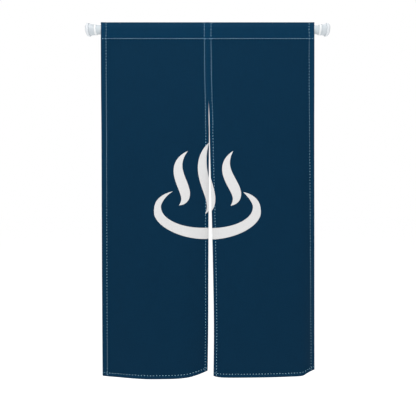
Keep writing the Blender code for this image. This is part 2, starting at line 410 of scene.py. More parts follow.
def pucker_wave(along, drift, start):
    """Return the ripple along a seam, from -1 to 1, which drifts so that it isn't even."""
    return np.sin(2 * pi * along / PUCKER_LENGTH + drift.reach * np.sin(along * drift.rate + start))


Relief = namedtuple("Relief", "front back shift")


def panel_relief(panel, across, ups):
    """Return how far the cloth's front and back stand from its middle surface, and its puckers."""
    from_left = across[None, :]
    from_right = PANEL_WIDTH - from_left
    up = ups[:, None]
    hems = [
        (from_left, panel.left_stitching),
        (from_right, panel.right_stitching),
        (up, BOTTOM_STITCHING),
    ]
    doubled = np.zeros((len(ups), len(across)))
    dent = np.zeros_like(doubled)
    for distance, stitching in hems:
        doubled = np.maximum(doubled, 1 - eased((distance - stitching - HEM_TURNING) / HEM_STEP))
        dent = np.maximum(dent, near(distance - stitching, DENT_WIDTH))
    dent = np.maximum(dent, near(up - POCKET_UP, DENT_WIDTH))
    below_pocket = up <= POCKET_UP
    flap = below_pocket * eased((up - POCKET_UP + POCKET_FLAP + HEM_STEP) / HEM_STEP)

    pucker = np.zeros_like(doubled)
    for distance, stitching in hems[:2]:
        wave = pucker_wave(up, SIDE_DRIFT, stitching * SIDE_DRIFT_SPREAD)
        pucker += near(distance - stitching, PUCKER_WIDTH) * wave
    for line in (BOTTOM_STITCHING, POCKET_UP):
        pucker += near(up - line, PUCKER_WIDTH) * pucker_wave(from_left, LEVEL_DRIFT, line)

    front = SINGLE_FRONT + (HEM_FRONT - SINGLE_FRONT) * doubled - STITCH_DENT * dent
    layers = np.maximum(doubled, flap)
    back = SINGLE_BACK + (HEM_BACK - SINGLE_BACK) * layers - STITCH_DENT * dent * layers
    rounding = edge_factor(np.minimum(from_left, from_right)) * edge_factor(up)
    middle = (front - back) / 2
    half = (front + back) / 2 * rounding
    return Relief(middle + half, half - middle, PUCKER_HEIGHT * pucker * rounding)


Face = namedtuple("Face", "across ups points normals")
ClothGrids = namedtuple("ClothGrids", "front back tunnel")


def cloth_faces(panel, sheet):
    """Work out a panel's outer face, its back below the pocket, and the inside of the pocket."""
    across = panel_columns(panel)
    sheet_ups = sheet_rows()
    section = pocket_section()
    stitched = len(sheet_ups) - 1

    pocket = np.empty((len(section) - 1, len(across), 3))
    gathered = 1 - POCKET_GATHER * np.maximum(0.0, -POCKET_LEAN - section[1:, 0, None])
    pocket[:, :, 0] = sheet[stitched, :, 0] * gathered
    pocket[:, :, 1] = section[1:, 0, None] + (sheet[stitched, :, 1] + POCKET_LEAN)
    pocket[:, :, 2] = section[1:, 1, None]
    middle = np.concatenate([sheet, pocket])
    steps = np.linalg.norm(np.diff(section, axis=0), axis=1)
    ups = np.concatenate([sheet_ups, POCKET_UP + np.cumsum(steps)])
    normals = grid_normals(middle)
    relief = panel_relief(panel, across, ups)

    middle = middle + normals * relief.shift[:, :, None]
    front = middle + normals * relief.front[:, :, None]
    back = middle - normals * relief.back[:, :, None]
    front[-1] = back[stitched]

    tunnel = back[stitched:].copy()
    wedge = unit(section[1] - section[0]) + unit(section[-2] - section[-1])
    half_angle = acos(np.linalg.norm(wedge) / 2)
    inward = relief.back[stitched, :, None] / sin(half_angle) * unit(wedge)
    tunnel[0] = middle[stitched] + np.hstack([np.zeros((len(across), 1)), inward])
    tunnel[-1] = tunnel[0]
    return ClothGrids(
        Face(across, ups, front, normals),
        Face(across, sheet_ups, back[:stitched + 1], -normals[:stitched + 1]),
        Face(across, ups[stitched:], tunnel, -normals[stitched:]),
    )


def corners_of(values, flipped):
    """Return the values at the four corners of each cell of a grid, in the order of its face."""
    corners = [values[:-1, :-1], values[:-1, 1:], values[1:, 1:], values[1:, :-1]]
    if flipped:
        corners.reverse()
    return np.stack(corners, axis=2).reshape((-1, 4) + values.shape[2:])


def flat_places(face):
    """Return the flat cloth coordinates of each point of a face, in metres."""
    return np.stack(np.meshgrid(face.across, face.ups), axis=2)


# Where each face of the cloth lies in the flat layout for baking, from 0 to 1 across it. All
# three are drawn to the same height scale, the outer face from the bottom to the top.
LayoutStrip = namedtuple("LayoutStrip", "left right")
LAYOUT = [LayoutStrip(0.01, 0.60), LayoutStrip(0.62, 0.90), LayoutStrip(0.92, 0.99)]
LAYOUT_MARGIN = 0.01


def layout_places(face, strip, tallest):
    """Return where each point of a face lies in the baking layout, from 0 to 1."""
    places = flat_places(face)
    u = strip.left + (strip.right - strip.left) * places[:, :, 0] / PANEL_WIDTH
    v = LAYOUT_MARGIN + (1 - 2 * LAYOUT_MARGIN) * (places[:, :, 1] - face.ups[0]) / tallest
    return np.stack([u, v], axis=2)


def add_mesh(name, points, faces, material, maps=()):
    """Add a smooth mesh object, with its UV maps given by face corner."""
    mesh = bpy.data.meshes.new(name)
    if isinstance(faces, np.ndarray):
        faces = faces.tolist()
    mesh.from_pydata(points.tolist(), [], faces)
    for map_name, corners in maps:
        layer = mesh.uv_layers.new(name=map_name)
        layer.data.foreach_set("uv", corners.astype(np.float32).ravel())
    mesh.materials.append(material)
    mesh.shade_smooth()
    thing = bpy.data.objects.new(name, mesh)
    bpy.context.scene.collection.objects.link(thing)
    return thing


def make_cloth(panel, grids, material):
    """Make one panel's cloth: a closed skin of its front, its back and its pocket's inside."""
    front, back, tunnel = grids
    stitched = len(back.ups) - 1
    columns = len(front.across)
    counts = [len(face.ups) * columns for face in grids]
    front_index = np.arange(counts[0]).reshape(-1, columns)
    back_index = counts[0] + np.arange(counts[1]).reshape(-1, columns)
    tunnel_index = counts[0] + counts[1] + np.arange(counts[2]).reshape(-1, columns)
    back_index[0] = front_index[0]
    back_index[stitched] = front_index[-1]
    tunnel_index[-1] = tunnel_index[0]
    for edge in (0, columns - 1):
        front_index[-1, edge] = front_index[stitched, edge]
        back_index[:, edge] = front_index[:stitched + 1, edge]
        tunnel_index[:, edge] = front_index[stitched:, edge]

    faces = np.concatenate([
        corners_of(front_index, False),
        corners_of(back_index, True),
        corners_of(tunnel_index, True),
    ])
    points = np.concatenate([face.points.reshape(-1, 3) for face in grids])
    used, compact = np.unique(faces, return_inverse=True)
    tallest = front.ups[-1] - front.ups[0]
    cloth_map = []
    layout_map = []
    for face, strip, flipped in zip(grids, LAYOUT, (False, True, True)):
        cloth_map.append(corners_of(flat_places(face), flipped))
        layout_map.append(corners_of(layout_places(face, strip, tallest), flipped))
    maps = [("cloth", np.concatenate(cloth_map)), ("OFBake", np.concatenate(layout_map))]
    name = panel.side + "_cloth"
    return add_mesh(name, points[used], compact.reshape(-1, 4), material, maps)


def lay_on(face, across, ups, out):
    """Return points and normals at places on a face of the cloth, standing out from it."""
    across = np.asarray(across, float)
    ups = np.asarray(ups, float)
    column = np.clip(np.searchsorted(face.across, across, "right") - 1, 0, len(face.across) - 2)
    row = np.clip(np.searchsorted(face.ups, ups, "right") - 1, 0, len(face.ups) - 2)
    beside = (across - face.across[column]) / (face.across[column + 1] - face.across[column])
    above = (ups - face.ups[row]) / (face.ups[row + 1] - face.ups[row])
    beside = np.clip(beside, 0, 1)[..., None]
    above = np.clip(above, 0, 1)[..., None]

    def blended(values):
        lower = values[row, column] * (1 - beside) + values[row, column + 1] * beside
        upper = values[row + 1, column] * (1 - beside) + values[row + 1, column + 1] * beside
        return lower * (1 - above) + upper * above

    normals = unit(blended(face.normals))
    return blended(face.points) + normals * np.asarray(out)[..., None], normals


# The printed sign: three wisps of steam that rise from a round pool. Places are measured from
# the seam, to the right, and down from the crease, on the flat cloth. A wisp leaves its tip by
# one sway and comes to its foot by another, and swells from each end by a power.
Wisp = namedtuple("Wisp", "tip_x tip_drop foot_x foot_drop out_sway out_drop back_sway back_drop"
                          " half_width tip_power foot_power")
WISPS = [
    Wisp(-0.0860, 0.5190, -0.1205, 0.7360, -0.1027, 0.0849, 0.0802, -0.0479, 0.0219, 4.9, 6.6),
    Wisp(0.0001, 0.4810, -0.0151, 0.7721, -0.0805, 0.1329, 0.0636, -0.0751, 0.0214, 6.4, 3.9),
    Wisp(0.0945, 0.5180, 0.0785, 0.7375, -0.0917, 0.0972, 0.0838, -0.0590, 0.0225, 4.8, 6.4),
]
# The pool's rim lies between two ovals, each fuller or flatter in its lower half. Its two ends
# are angles up from the oval's sides.
Oval = namedtuple("Oval", "centre half_width middle_drop below above fullness_below fullness_above"
                          " left_end right_end")
POOL_OUTER = Oval(-0.0089, 0.2095, 0.7644, 0.1085, 0.0966, 1.83, 2.77, 57.2, 55.3)
POOL_INNER = Oval(-0.0112, 0.1799, 0.7415, 0.0859, 0.1128, 2.07, 1.64, 39.0, 34.4)
POOL_TIPS = ((-0.1437, 0.6800), (0.1312, 0.6830))
TIP_BLEND = 0.05


def oval_point(oval, angle):
    """Return a point of an oval at an angle, 0 at its right end and growing downward."""
    below = sin(angle) > 0
    power = 2 / (oval.fullness_below if below else oval.fullness_above)
    reach = oval.below if below else oval.above
    side = 1 if cos(angle) > 0 else -1
    x = oval.centre + oval.half_width * side * abs(cos(angle)) ** power
    down = reach * (abs(sin(angle)) ** power) * (1 if below else -1)
    return np.array([x, oval.middle_drop + down])


def pool_side(oval, steps):
    """Return one side of the pool's rim, from its left tip round the bottom to its right tip."""
    first = radians(180 + oval.left_end)
    last = radians(-oval.right_end)
    points = []
    for step in range(steps + 1):
        share = step / steps
        point = oval_point(oval, first + (last - first) * share)
        for tip, distance in zip(POOL_TIPS, (share, 1 - share)):
            if distance < TIP_BLEND:
                blend = (1 - distance / TIP_BLEND) ** 2
                end = oval_point(oval, first if tip is POOL_TIPS[0] else last)
                point = point + (np.array(tip) - end) * blend
        points.append(point)
    return points


def wisp_sides(wisp, steps):
    """Return the two sides of a wisp, from its tip down to its foot."""
    tip = np.array([wisp.tip_x, wisp.tip_drop])
    foot = np.array([wisp.foot_x, wisp.foot_drop])
    out = tip + np.array([wisp.out_sway, wisp.out_drop])
    back = foot + np.array([wisp.back_sway, wisp.back_drop])
    left = []
    right = []
    for step in range(steps + 1):
        t = step / steps
        to_go = 1 - t
        centre = (to_go ** 3 * tip + 3 * t * to_go ** 2 * out
                  + 3 * t * t * to_go * back + t ** 3 * foot)
        run = to_go ** 2 * (out - tip) + 2 * t * to_go * (back - out) + t * t * (foot - back)
        run = run / np.linalg.norm(run)
        beside = np.array([run[1], -run[0]])
        half = wisp.half_width * (1 - to_go ** wisp.tip_power) * (1 - t ** wisp.foot_power)
        left.append(centre - beside * half)
        right.append(centre + beside * half)
    return left, right


def printed_shapes():
    """Return each printed shape as its two sides."""
    shapes = [wisp_sides(wisp, WISP_STEPS) for wisp in WISPS]
    shapes.append((pool_side(POOL_OUTER, POOL_STEPS), pool_side(POOL_INNER, POOL_STEPS)))
    return shapes


def outline_of(sides):
    """Return a shape's outline as one array of points."""
    return np.array(sides[0] + sides[1][::-1])


def inside(outline, x, drop):
    """Tell whether a point lies inside an outline."""
    following = np.roll(outline, -1, axis=0)
    crosses = (outline[:, 1] > drop) != (following[:, 1] > drop)
    start = outline[crosses]
    end = following[crosses]
    run = end - start
    reach = start[:, 0] + (drop - start[:, 1]) * run[:, 0] / run[:, 1]
    return np.count_nonzero(reach > x) % 2 == 1


def flat_print():
    """Make the print's shapes as one flat mesh, x to the right and y down the cloth."""
    work = bmesh.new()
    for left, right in printed_shapes():
        rows = []
        for start, end in zip(left, right):
            row = [start + (end - start) * cell / PRINT_CELLS for cell in range(PRINT_CELLS + 1)]
            rows.append([work.verts.new((point[0], point[1], 0.0)) for point in row])
        for first, second in zip(rows, rows[1:]):
            for cell in range(PRINT_CELLS):
                work.faces.new((first[cell], first[cell + 1], second[cell + 1], second[cell]))
    bmesh.ops.remove_doubles(work, verts=work.verts, dist=WELD_DISTANCE)
    return work


def cut_down(work, x, direction, drop_outer):
    """Cut a flat mesh along a line down the cloth, and drop what is past the line if asked."""
    everything = work.verts[:] + work.edges[:] + work.faces[:]
    bmesh.ops.bisect_plane(work, geom=everything, dist=CUT_ACCURACY, plane_co=(x, 0, 0),
                           plane_no=(direction, 0, 0), clear_outer=drop_outer)


def cut_print(work, panel, across):
    """Keep the part of the flat print that is on a panel, and cut it along the cloth's columns."""
    margin = EDGE_ROUND[2]
    low = panel.flat_start + margin
    high = panel.flat_start + PANEL_WIDTH - margin
    cut_down(work, low, -1, True)
    cut_down(work, high, 1, True)
    for place in across:
        if low < panel.flat_start + place < high:
            cut_down(work, panel.flat_start + place, 1, False)


def make_print(panel, grids, material):
    """Make the ink of one panel: a thin closed skin that follows the cloth's front."""
    work = flat_print()
    cut_print(work, panel, grids.front.across)
    bmesh.ops.triangulate(work, faces=work.faces)
    bmesh.ops.dissolve_degenerate(work, edges=work.edges, dist=SLIVER_LENGTH)
    work.verts.index_update()
    flat = np.array([vertex.co[:2] for vertex in work.verts])
    across = flat[:, 0] - panel.flat_start
    ups = DROP_TO_HEM - flat[:, 1]
    top, _ = lay_on(grids.front, across, ups, np.full(len(flat), PRINT_OUT))
    bottom, _ = lay_on(grids.front, across, ups, np.full(len(flat), PRINT_IN))
    top_faces = []
    for face in work.faces:
        corners = [vertex.index for vertex in face.verts]
        first, second, third = (top[index] for index in corners)
        if np.cross(second - first, third - first)[1] > 0:
            corners.reverse()
        top_faces.append(corners)
    work.free()

    count = len(flat)
    edges = []
    for corners in top_faces:
        edges += zip(corners, corners[1:] + corners[:1])
    shared = set(edges)
    rim = [(start, end) for start, end in edges if (end, start) not in shared]
    faces = list(top_faces)
    faces += [[index + count for index in reversed(corners)] for corners in top_faces]
    faces += [[end, start, start + count, end + count] for start, end in rim]
    places = np.stack([across, ups], axis=1)
    corner_places = np.concatenate([places[[index % count for index in face]] for face in faces])
    points = np.concatenate([top, bottom])
    return add_mesh(panel.side + "_print", points, faces, material, [("cloth", corner_places)])


StitchLine = namedtuple("StitchLine", "start end")
# A stitch's stations, from one end to the other, and how oval and how square-ended it is there.
STATIONS = (-1.0, -0.93, -0.72, -0.36, 0.0, 0.36, 0.72, 0.93, 1.0)
OVAL_SHARE = 0.45
BLUNT_POWER = 6
THREAD_SIDES = 8


def stitch_lines(panel, top):
    """Return a face's stitched lines as places across and up the cloth."""
    right = PANEL_WIDTH - panel.right_stitching
    clear = EDGE_RADIUS * 2
    return [
        StitchLine((panel.left_stitching, clear), (panel.left_stitching, top)),
        StitchLine((right, clear), (right, top)),
        StitchLine((clear, BOTTOM_STITCHING), (PANEL_WIDTH - clear, BOTTOM_STITCHING)),
    ]


def stitches_along(line, phase, chance):
    """Return the two ends of each stitch of a line, a little uneven as sewn."""
    start = np.array(line.start)
    end = np.array(line.end)
    length = np.linalg.norm(end - start)
    run = (end - start) / length
    beside = np.array([-run[1], run[0]])
    count = int(length / STITCH_PERIOD)
    stitches = []
    for index in range(int(count + 0.5 - phase)):
        centre = start + run * ((index + phase) * length / count)
        centre = centre + beside * chance.uniform(-STITCH_WANDER, STITCH_WANDER)
        half = STITCH_LENGTH / 2 * chance.uniform(STITCH_SHORTEST, STITCH_LONGEST)
        turn = beside * chance.uniform(-STITCH_SLANT, STITCH_SLANT)
        stitches.append((centre - run * half - turn, centre + run * half + turn))
    return stitches


def thread_mesh(name, runs, material):
    """Make stitches from their centre lines and normals: round threads with closed ends."""
    stations = np.array(STATIONS)
    oval = np.sqrt(np.clip(1 - stations ** 2, 0, 1))
    blunt = 1 - np.abs(stations) ** BLUNT_POWER
    swell = oval * OVAL_SHARE + (1 - OVAL_SHARE) * blunt
    angles = 2 * pi * np.arange(THREAD_SIDES) / THREAD_SIDES
    points = []
    faces = []
    places = []
    for centres, normals in runs:
        base = len(points)
        along = unit(np.gradient(centres, axis=0))
        across = unit(np.cross(along, normals))
        rings = []
        for station in range(1, len(stations) - 1):
            half_width = THREAD_HALF_WIDTH * swell[station]
            half_height = THREAD_HALF_HEIGHT * swell[station]
            ring = (centres[station] + half_width * np.cos(angles)[:, None] * across[station]
                    + half_height * np.sin(angles)[:, None] * normals[station])
            rings.append(ring)
        points += [centres[0]] + [point for ring in rings for point in ring] + [centres[-1]]
        last = base + 1 + len(rings) * THREAD_SIDES
        reached = (stations + 1) / 2
        for side in range(THREAD_SIDES):
            after = (side + 1) % THREAD_SIDES
            turn, next_turn = side / THREAD_SIDES, (side + 1) / THREAD_SIDES
            faces.append([base, base + 1 + after, base + 1 + side])
            places += [(0.0, turn), (reached[1], next_turn), (reached[1], turn)]
            for ring in range(len(rings) - 1):
                low = base + 1 + ring * THREAD_SIDES
                high = low + THREAD_SIDES
                faces.append([low + side, low + after, high + after, high + side])
                here, there = reached[ring + 1], reached[ring + 2]
                places += [(here, turn), (here, next_turn), (there, next_turn), (there, turn)]
            low = last - THREAD_SIDES
            faces.append([last, low + side, low + after])
            places += [(1.0, turn), (reached[-2], turn), (reached[-2], next_turn)]
    return add_mesh(name, np.array(points), faces, material, [("thread", np.array(places))])


def thread_height(arch):
    """Return how far a stitch's centre line stands out from the cloth, from end to end."""
    return THREAD_HALF_HEIGHT * (arch.rise - arch.dive * np.abs(np.array(STATIONS)) ** 5)


def along_thread():
    """Return how much of a stitch's length is behind each of its stations, as a column."""
    return ((np.array(STATIONS) + 1) / 2)[:, None]


def stitch_run(face, ends):
    """Return a stitch's centre line and normals, laid on a face of the cloth."""
    share = along_thread()
    flat = ends[0] * (1 - share) + ends[1] * share
    return lay_on(face, flat[:, 0], flat[:, 1], thread_height(STITCH_ARCH))


def make_stitching(panel, grids, thread, ink):
    """Make a panel's stitching in thread, with ink on the stitches that the print covers."""
    chance = Random(STITCH_SEEDS[panel.side])
    outlines = [outline_of(sides) for sides in printed_shapes()]
    clear = EDGE_RADIUS * 2
    front_lines = stitch_lines(panel, grids.front.ups[-1] - clear)
    front_lines.append(StitchLine((clear, POCKET_UP), (PANEL_WIDTH - clear, POCKET_UP)))
    back_top = POCKET_UP - DENT_WIDTH
    back_lines = stitch_lines(panel, back_top)
    back_lines.append(StitchLine((clear, back_top), (PANEL_WIDTH - clear, back_top)))
    plain = []
    printed = []
    sides = ((grids.front, front_lines, FRONT_PHASE), (grids.back, back_lines, BACK_PHASE))
    for face, lines, phase in sides:
        for line in lines:
            for ends in stitches_along(line, phase, chance):
                centre = (ends[0] + ends[1]) / 2
                x = panel.flat_start + centre[0]
                drop = DROP_TO_HEM - centre[1]
                on_print = any(inside(outline, x, drop) for outline in outlines)
                kind = printed if on_print and face is grids.front else plain
                kind.append(stitch_run(face, ends))
    return (thread_mesh(panel.side + "_stitching", plain, thread),
            thread_mesh(panel.side + "_printed_stitching", printed, ink))


def make_seam_stitching(left, right, thread):
    """Make the whip stitches behind the seam that joins the panels above the slit."""
    share = along_thread()
    out = thread_height(SEAM_ARCH)[:, None]
    runs = []
    count = int((SLIT_DROP - DROP_TO_STITCHING) / SEAM_STITCH_PERIOD)
    for index in range(count + 1):
        up = DROP_TO_HEM - SLIT_DROP + index * SEAM_STITCH_PERIOD
        start, normal = lay_on(left.back, [PANEL_WIDTH - SEAM_STITCH_INSET], [up], [0.0])
        end, _ = lay_on(right.back, [SEAM_STITCH_INSET], [up + SEAM_STITCH_SLANT], [0.0])
        normals = np.repeat(normal, len(share), axis=0)
        runs.append((start * (1 - share) + end * share + normals * out, normals))
    return thread_mesh("seam_stitching", runs, thread)


# The rod's mouldings, measured inward from the flat outer face of each pad.
TURNED_SIDES = 96
PAD_FACE_RADIUS = 0.0130
PAD_RADIUS = 0.0250
PAD_ROUND_DEPTH = 0.0105
PAD_DEPTH = 0.0150
FIT_GAP = 0.0003
CAP_END = 0.0352
CAP_WIDE_RADIUS = 0.0226
CAP_NARROW_RADIUS = 0.0202
CAP_WAIST = 0.0002
CAP_BEAD = 0.0021
CAP_BEAD_HEIGHT = 0.0005
COLLAR_DEPTH = 0.0080
COLLAR_RADIUS = 0.0200
COLLAR_ROUND = 0.0011
TUBE_WALL = 0.0007
TUBE_ROUND = 0.0003
SPIGOT_END = 0.0600
STUD_RADIUS = 0.0080
STUD_START = 0.0083
FILLET = 0.0008
# The most of a side that one rounded corner takes, and the angle from which an edge is sharp.
FILLET_SHARE = 0.45
SHARP_ANGLE = radians(40)


def rounded(points, radius, steps=5):
    """Round the inner corners of a profile, each by an arc that fits its two sides."""
    points = [np.array(point) for point in points]
    result = [points[0]]
    for before, corner, after in zip(points, points[1:], points[2:]):
        towards = before - corner
        onward = after - corner
        side_before = np.linalg.norm(towards)
        side_after = np.linalg.norm(onward)
        reach = min(radius, side_before * FILLET_SHARE, side_after * FILLET_SHARE)
        start = corner + towards / side_before * reach
        end = corner + onward / side_after * reach
        for step in range(steps + 1):
            t = step / steps
            result.append((1 - t) ** 2 * start + 2 * t * (1 - t) * corner + t * t * end)
    return result + [points[-1]]


def make_turned(name, profile, closed, end_side, outer_face, material):
    """Turn a profile of radius and distance inward round the rod's axis."""
    count = len(profile)
    angles = 2 * pi * np.arange(TURNED_SIDES) / TURNED_SIDES
    points = []
    index = []
    for radius, inward in profile:
        x = outer_face - end_side * inward
        if radius < 1e-9:
            index.append([len(points)] * TURNED_SIDES)
            points.append((x, 0.0, 0.0))
        else:
            index.append(list(range(len(points), len(points) + TURNED_SIDES)))
            points += [(x, radius * cos(angle), radius * sin(angle)) for angle in angles]
    faces = []
    for place in range(count if closed else count - 1):
        here = index[place]
        there = index[(place + 1) % count]
        for side in range(TURNED_SIDES):
            after = (side + 1) % TURNED_SIDES
            corners = [here[side], here[after], there[after], there[side]]
            corners = list(dict.fromkeys(corners))
            if end_side < 0:
                corners.reverse()
            faces.append(corners)
    thing = add_mesh(name, np.array(points), faces, material)
    thing.data.set_sharp_from_angle(angle=SHARP_ANGLE)
    return thing


def pad_profile():
    """Return the soft pad's profile: flat face, round rim, and the recess for the cap's stud."""
    profile = [(0.0, 0.0)]
    steps = 20
    for step in range(steps + 1):
        angle = pi / 2 * step / steps
        radius = PAD_FACE_RADIUS + (PAD_RADIUS - PAD_FACE_RADIUS) * sin(angle)
        profile.append((radius, PAD_ROUND_DEPTH * (1.0 - cos(angle))))
    back = [profile[-1], (PAD_RADIUS, PAD_DEPTH), (STUD_RADIUS + FIT_GAP, PAD_DEPTH),
            (STUD_RADIUS + FIT_GAP, STUD_START - FIT_GAP), (0.0, STUD_START - FIT_GAP)]
    return profile[:-1] + rounded(back, FILLET)


def cap_profile(tube_radius):
    """Return the tapered cap's profile: stud, flared body, a bead at its rim, and its spigot."""
    shoulder = PAD_DEPTH + FIT_GAP
    body = []
    steps = 14
    for step in range(steps + 1):
        share = step / steps
        flare = (CAP_WIDE_RADIUS - CAP_NARROW_RADIUS) * (1 - share) ** 2
        inward = shoulder + (CAP_END - CAP_BEAD - shoulder) * share
        body.append((CAP_NARROW_RADIUS - CAP_WAIST + flare, inward))
    rim = []
    bead_steps = 8
    for step in range(bead_steps + 1):
        angle = pi * step / bead_steps
        inward = CAP_END - CAP_BEAD * (1 + cos(angle)) / 2
        rim.append((CAP_NARROW_RADIUS + CAP_BEAD_HEIGHT * sin(angle), inward))
    spigot = tube_radius - TUBE_WALL - FIT_GAP
    start = rounded([(0.0, STUD_START), (STUD_RADIUS, STUD_START), (STUD_RADIUS, shoulder),
                     body[0], body[1]], FILLET)
    end = rounded([rim[-1], (spigot, CAP_END), (spigot, SPIGOT_END), (0.0, SPIGOT_END)], FILLET)
    return start + body[2:] + rim + end[1:]


def collar_profile(tube_radius):
    """Return the collar's closed profile, with both outer edges rounded."""
    start = CAP_END + FIT_GAP
    end = start + COLLAR_DEPTH
    bore = tube_radius + FIT_GAP
    ring = [(bore, start), (COLLAR_RADIUS, start), (COLLAR_RADIUS, end), (bore, end)]
    middle = (bore, (start + end) / 2)
    return rounded([middle] + ring + [middle], COLLAR_ROUND)[:-1]


def tube_profile(tube_radius, length):
    """Return a tube's closed profile, with its cut end rolled smooth."""
    start = CAP_END + FIT_GAP
    bore = tube_radius - TUBE_WALL
    ring = [(bore, start), (tube_radius, start), (tube_radius, length), (bore, length)]
    middle = (bore, (start + length) / 2)
    return rounded([middle] + ring + [middle], TUBE_ROUND)[:-1]


def make_rod(materials):
    """Make every fitting of the rod in place of its solids, and return them by node."""
    made = {}
    for side, end_side, tube in (("left", -1, "rod_outer_tube"), ("right", 1, "rod_inner_tube")):
        tube_low, tube_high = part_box(tube)
        tube_radius = (tube_high.z - tube_low.z) / 2
        pad_low, pad_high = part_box(side + "_end_pad")
        outer_face = pad_high.x if end_side > 0 else pad_low.x
        inner_end = tube_low.x if end_side > 0 else tube_high.x
        length = abs(outer_face - inner_end)
        profiles = {
            tube: (tube_profile(tube_radius, length), True, "rod"),
            side + "_rod_collar": (collar_profile(tube_radius), True, "end_fitting"),
            side + "_end_cap": (cap_profile(tube_radius), False, "end_fitting"),
            side + "_end_pad": (pad_profile(), False, "end_pad"),
        }
        for node, (profile, closed, slot) in profiles.items():
            name = node + "_finish"
            look = "collar" if node.endswith("collar") else slot
            piece = make_turned(name, profile, closed, end_side, outer_face, materials[look])
            made[node] = (piece, slot)
    return made


def new_group(name, inputs, outputs):
    """Start a shader node group with named sockets, and return it with its two end nodes."""
    group = bpy.data.node_groups.new(name, "ShaderNodeTree")
    for socket_name, kind, value in inputs:
        socket = group.interface.new_socket(name=socket_name, in_out="INPUT", socket_type=kind)
        if value is not None:
            socket.default_value = value
    for socket_name, kind in outputs:
        group.interface.new_socket(name=socket_name, in_out="OUTPUT", socket_type=kind)
    return group, group.nodes.new("NodeGroupInput"), group.nodes.new("NodeGroupOutput")


def join(tree, value, socket):
    """Feed a socket from another socket, or set it to a plain value."""
    if isinstance(value, bpy.types.NodeSocket):
        tree.links.new(value, socket)
    else:
        socket.default_value = value


def calc(tree, operation, *values):
    """Add a Math node and return its result."""
    node = tree.nodes.new("ShaderNodeMath")
    node.operation = operation
    for socket, value in zip(node.inputs, values):
        join(tree, value, socket)
    return node.outputs[0]


def noise(tree, place, stretch, detail=2.0, roughness=0.5):
    """Add a noise texture over a place stretched by sizes in metres, and return its value."""
    scaled = tree.nodes.new("ShaderNodeVectorMath")
    scaled.operation = "MULTIPLY"
    join(tree, place, scaled.inputs[0])
    scaled.inputs[1].default_value = [1 / size for size in stretch]
    texture = tree.nodes.new("ShaderNodeTexNoise")
    texture.inputs["Scale"].default_value = 1.0
    texture.inputs["Detail"].default_value = detail
    texture.inputs["Roughness"].default_value = roughness
    tree.links.new(scaled.outputs[0], texture.inputs["Vector"])
    return texture.outputs["Fac"]


def tinted(tree, colour, shade):
    """Multiply a colour by a changing value and return the result."""
    node = tree.nodes.new("ShaderNodeVectorMath")
    node.operation = "SCALE"
    join(tree, colour, node.inputs[0])
    join(tree, shade, node.inputs["Scale"])
    return node.outputs[0]


def mixed(tree, share, first, second):
    """Mix two colours and return the result."""
    node = tree.nodes.new("ShaderNodeMix")
    node.data_type = "RGBA"
    join(tree, share, node.inputs["Factor"])
    join(tree, first, node.inputs[6])
    join(tree, second, node.inputs[7])
    return node.outputs[2]


# The cloth's yarn: how far apart its threads lie, how long and how thick its uneven stretches
# are, upright and level, and how large the cloudy patches of its dye.
THREAD_SPACING = 0.0007
UPRIGHT_SLUBS = (0.0011, 0.052, 1.0)
LEVEL_SLUBS = (0.046, 0.0011, 1.0)
DYE_PATCHES = (0.085, 0.11, 1.0)
PATCH_STRENGTH = 0.10
# How bright the weave's pits are, and how much brighter its threads: painted shade in the pits.
PAINTED_PIT_SHADE = 0.80
PAINTED_THREAD_LIFT = 0.32


def weave_group():
    """Build the plain weave: thread relief, uneven yarn and dye, and painted shade in its pits."""
    group, start, end = new_group(
        "plain_weave",
        [("Cloth Place", "NodeSocketVector", None),
         ("Thread Spacing", "NodeSocketFloat", THREAD_SPACING), ("Slub", "NodeSocketFloat", 0.2)],
        [("Relief", "NodeSocketFloat"), ("Shade", "NodeSocketFloat")],
    )
    place = start.outputs["Cloth Place"]
    parts = group.nodes.new("ShaderNodeSeparateXYZ")
    group.links.new(place, parts.inputs[0])
    u = calc(group, "DIVIDE", parts.outputs[0], start.outputs["Thread Spacing"])
    v = calc(group, "DIVIDE", parts.outputs[1], start.outputs["Thread Spacing"])

    def thread(across, along, shift):
        body = calc(group, "ABSOLUTE", calc(group, "SINE", calc(group, "MULTIPLY", across, pi)))
        turn = calc(group, "ADD", along, calc(group, "FLOOR", across))
        turn = calc(group, "MULTIPLY", calc(group, "ADD", turn, shift), pi)
        rise = calc(group, "MULTIPLY_ADD", calc(group, "COSINE", turn), 0.5, 0.5)
        return calc(group, "MULTIPLY", body, rise)

    relief = calc(group, "MAXIMUM", thread(u, v, 0.0), thread(v, u, 1.0))
    group.links.new(relief, end.inputs["Relief"])

    upright = noise(group, place, UPRIGHT_SLUBS)
    level = noise(group, place, LEVEL_SLUBS)
    cloudy = noise(group, place, DYE_PATCHES, detail=3.0)
    both = calc(group, "ADD", upright, level)
    uneven = calc(group, "MULTIPLY", calc(group, "SUBTRACT", both, 1.0), start.outputs["Slub"])
    patches = calc(group, "MULTIPLY", calc(group, "SUBTRACT", cloudy, 0.5), PATCH_STRENGTH)
    # Painted shade: the weave's pits are darker than its threads.
    shade = calc(group, "ADD", calc(group, "ADD", uneven, patches), PAINTED_PIT_SHADE)
    shade = calc(group, "ADD", shade, calc(group, "MULTIPLY", relief, PAINTED_THREAD_LIFT))
    group.links.new(shade, end.inputs["Shade"])
    return group


def ramp(tree, value, low, high):
    """Return a smooth step from 0 to 1 as a value rises from low to high."""
    node = tree.nodes.new("ShaderNodeMapRange")
    node.interpolation_type = "SMOOTHSTEP"
    join(tree, value, node.inputs["Value"])
    node.inputs["From Min"].default_value = low
    node.inputs["From Max"].default_value = high
    return node.outputs["Result"]


# How much lighter the cloth reads where hemmed, and the pocket band's painted highlight.
HEM_TONE = 0.20
POCKET_PAINTED_HIGHLIGHT = 0.23
# Where the hems' tone starts to fade, in from the edge, and half the width of the pocket's line.
HEM_TONE_START = 0.012
POCKET_LINE = 0.0006


